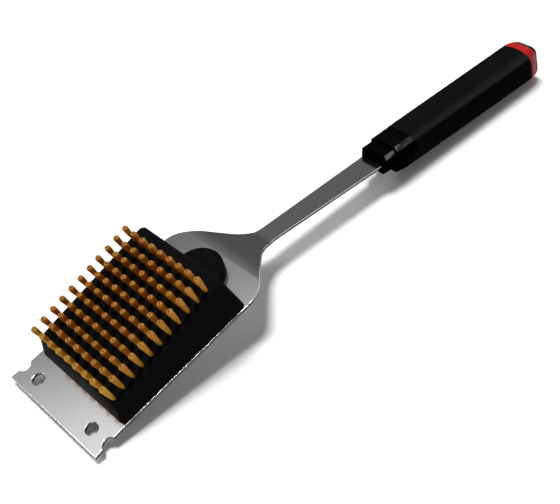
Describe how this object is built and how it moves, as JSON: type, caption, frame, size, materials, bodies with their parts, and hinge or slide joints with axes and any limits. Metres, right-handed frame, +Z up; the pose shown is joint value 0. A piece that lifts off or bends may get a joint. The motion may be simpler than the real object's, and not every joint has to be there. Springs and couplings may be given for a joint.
{
  "type": "grill cleaning brush",
  "caption": "Long-handled grill brush: crimped wire bristles on a sloped black block, carried by a bent steel scraper blade and a tapered handle with a red ring.",
  "frame": {"origin": "on the surface the brush lies on, under the middle of its length and width, with the brush on its back and its bristles up", "axes": "+X from the scraper edge towards the handle's end, +Z up from the surface it lies on, Y across the blade"},
  "size_m": [0.4777, 0.083, 0.066],
  "materials": {
    "blade_steel": "stamped sheet steel, satin, lightly scratched",
    "block_plastic": "moulded black plastic, fine grain",
    "bristle_brass": "crimped brass-coated wire",
    "anchor_steel": "plain wire",
    "screw_steel": "zinc-plated steel",
    "ferrule_plastic": "polished black plastic",
    "core_plastic": "glass-filled plastic",
    "pin_steel": "turned steel",
    "grip_plastic": "satin black plastic",
    "ring_plastic": "red plastic",
    "cap_plastic": "satin black plastic"
  },
  "bodies": {
    "root": {"blade": "blade_steel", "brush_block": "block_plastic", "bristle_row_01": "bristle_brass", "bristle_row_02": "bristle_brass", "bristle_row_03": "bristle_brass", "bristle_row_04": "bristle_brass", "bristle_row_05": "bristle_brass", "bristle_row_06": "bristle_brass", "bristle_row_07": "bristle_brass", "bristle_row_08": "bristle_brass", "bristle_row_09": "bristle_brass", "bristle_row_10": "bristle_brass", "bristle_row_11": "bristle_brass", "tuft_anchors": "anchor_steel", "block_screws": "screw_steel", "ferrule": "ferrule_plastic", "handle_core": "core_plastic", "tang_pins": "pin_steel", "grip_sleeve": "grip_plastic", "accent_ring": "ring_plastic", "end_cap": "cap_plastic"}
  },
  "joints": []
}
